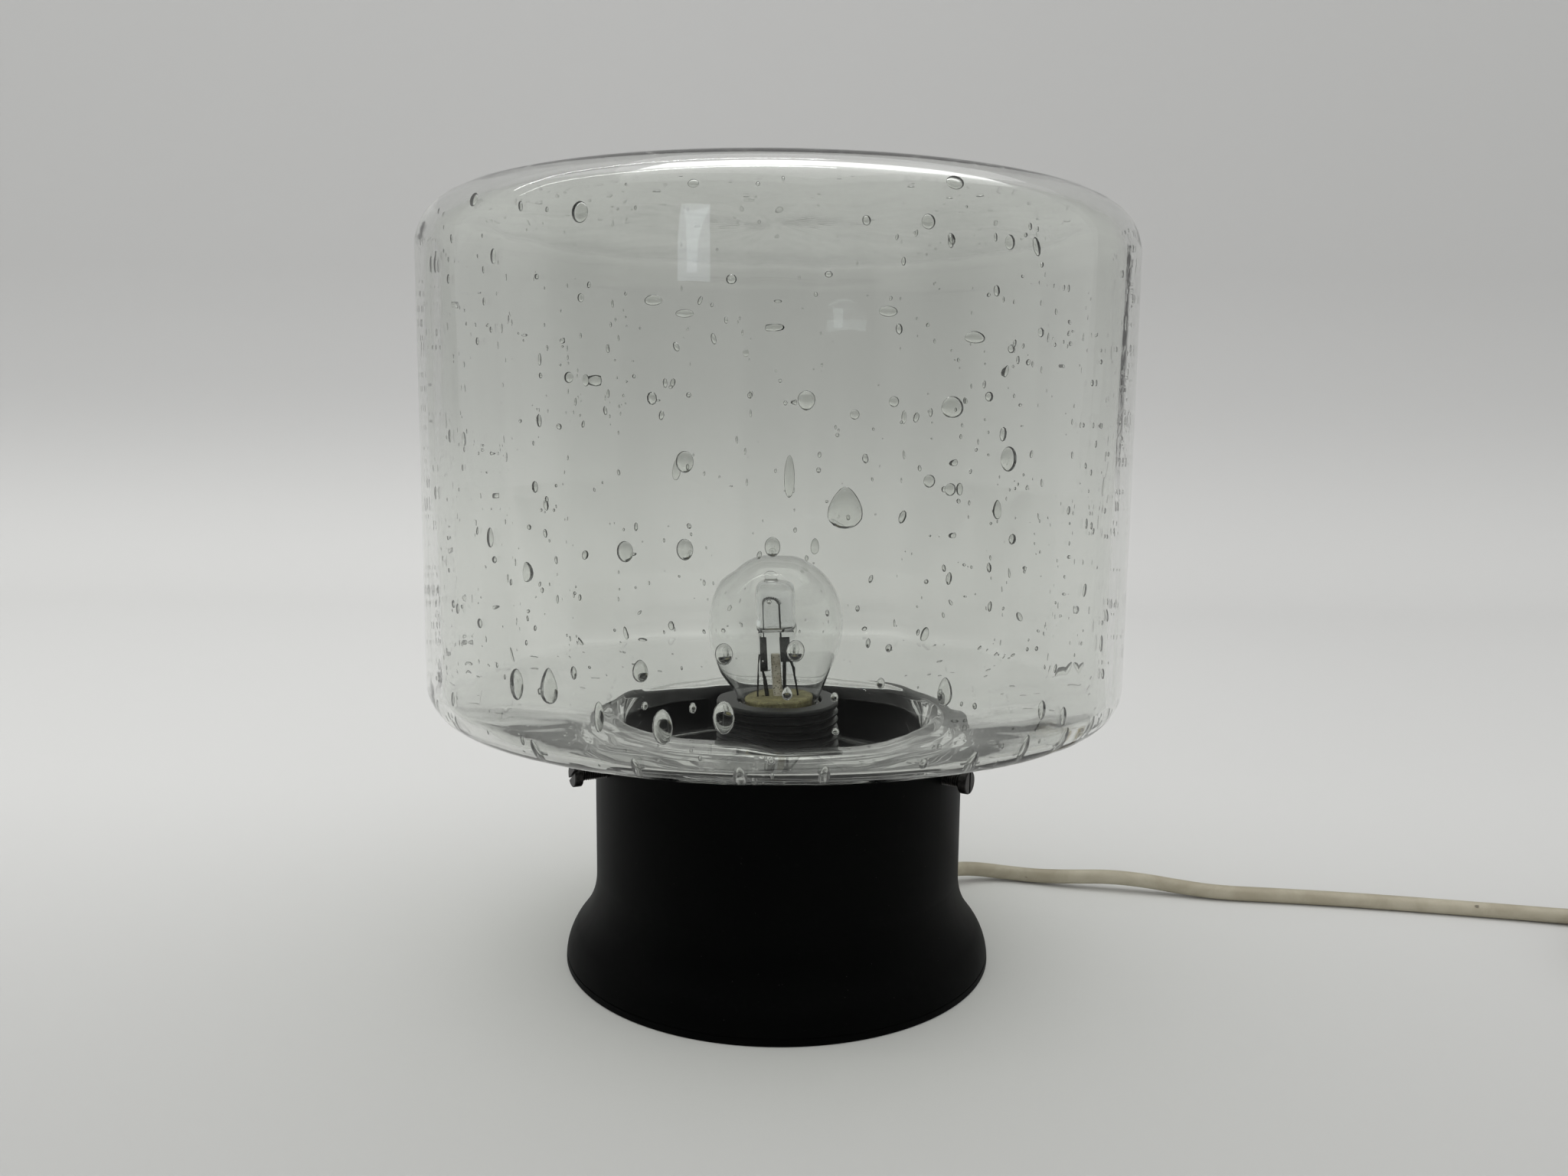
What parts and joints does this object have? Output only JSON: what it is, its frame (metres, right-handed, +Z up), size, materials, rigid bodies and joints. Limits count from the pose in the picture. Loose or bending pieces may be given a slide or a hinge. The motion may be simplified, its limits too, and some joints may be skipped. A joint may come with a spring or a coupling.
{
  "type": "ceiling light",
  "caption": "Flush ceiling light: a thick bubbled clear glass drum clamped on a flared black metal canopy, with a clear globe bulb, lampholder and plug-in mains lead.",
  "frame": {"origin": "centre of the canopy's foot, on the surface that it stands on", "axes": "+Z up through the canopy, lampholder and glass; -Y toward the picture's viewer; the lead leaves toward +X. Screwed to a ceiling, +Z points down."},
  "size_m": [0.4732, 0.213, 0.2311],
  "materials": {
    "black_satin_steel": "satin black paint on spun steel",
    "zinc_screw_steel": "dark zinc-plated steel",
    "bubbled_glass": "clear blown glass full of air bubbles, faint green-grey tint",
    "zinc_strap_steel": "bright zinc-plated sheet",
    "brass": "bright brass",
    "black_bakelite": "black moulded thermoset",
    "white_porcelain": "glazed ceramic",
    "nickel_cap": "bright nickel-plated brass",
    "black_glass": "black vitrite",
    "solder": "dull solder",
    "clear_glass": "clear thin glass",
    "cream_cement": "cream cement",
    "quartz": "clear quartz",
    "tungsten": "dark tungsten wire",
    "nickel_wire": "dark drawn wire",
    "cream_pvc": "soft cream plastic, satin",
    "brown_insulation": "brown plastic insulation",
    "blue_insulation": "blue plastic insulation",
    "white_nylon": "white nylon",
    "clear_strap": "flat milky plastic strap",
    "black_sleeve": "black plastic sleeve"
  },
  "bodies": {
    "base": {"canopy_shell": "black_satin_steel", "mounting_strap": "zinc_strap_steel", "threaded_tube": "brass", "tube_nuts": "brass", "lock_washer": "zinc_strap_steel", "lampholder_dome": "black_bakelite", "lampholder_skirt": "black_bakelite", "lampholder_core": "white_porcelain", "lampholder_contact_shell": "brass", "lampholder_centre_contact": "brass", "lampholder_terminals": "brass", "lampholder_terminal_screws": "zinc_screw_steel", "cord_grommet": "cream_pvc", "cord_inner": "cream_pvc", "core_wire_live": "brown_insulation", "core_wire_neutral": "blue_insulation", "cord_clamp": "white_nylon", "cord_clamp_screws": "zinc_screw_steel", "cord_lead": "cream_pvc", "cord_coil": "cream_pvc", "cord_tie": "clear_strap", "plug_boot": "cream_pvc", "plug_body": "cream_pvc", "plug_pins": "nickel_cap", "plug_pin_sleeves": "black_sleeve"},
    "shade": {"glass_shade": "bubbled_glass"},
    "bulb": {"bulb_cap": "nickel_cap", "bulb_insulator": "black_glass", "bulb_tip_contact": "solder", "bulb_globe": "clear_glass", "bulb_cement": "cream_cement", "bulb_capsule": "quartz", "bulb_filament": "tungsten", "bulb_support_wires": "nickel_wire", "bulb_stem": "clear_glass"},
    "right_screw": {"clamp_screw_right": "zinc_screw_steel"},
    "left_screw": {"clamp_screw_left": "zinc_screw_steel"},
    "back_screw": {"clamp_screw_back": "zinc_screw_steel"}
  },
  "joints": [
    {"name": "shade_lift", "type": "slide", "parent": "base", "child": "shade", "axis": [0, 0, 1], "range_m": [0, 0.08]},
    {"name": "bulb_lift", "type": "slide", "parent": "base", "child": "bulb", "axis": [0, 0, 1], "range_m": [0, 0.03]},
    {"name": "right_clamp_screw_draw", "type": "slide", "parent": "base", "child": "right_screw", "axis": [0.8554, -0.518, 0], "range_m": [0, 0.006]},
    {"name": "left_clamp_screw_draw", "type": "slide", "parent": "base", "child": "left_screw", "axis": [-0.8763, -0.4818, 0], "range_m": [0, 0.006]},
    {"name": "back_clamp_screw_draw", "type": "slide", "parent": "base", "child": "back_screw", "axis": [0.0209, 0.9998, 0], "range_m": [0, 0.006]}
  ]
}
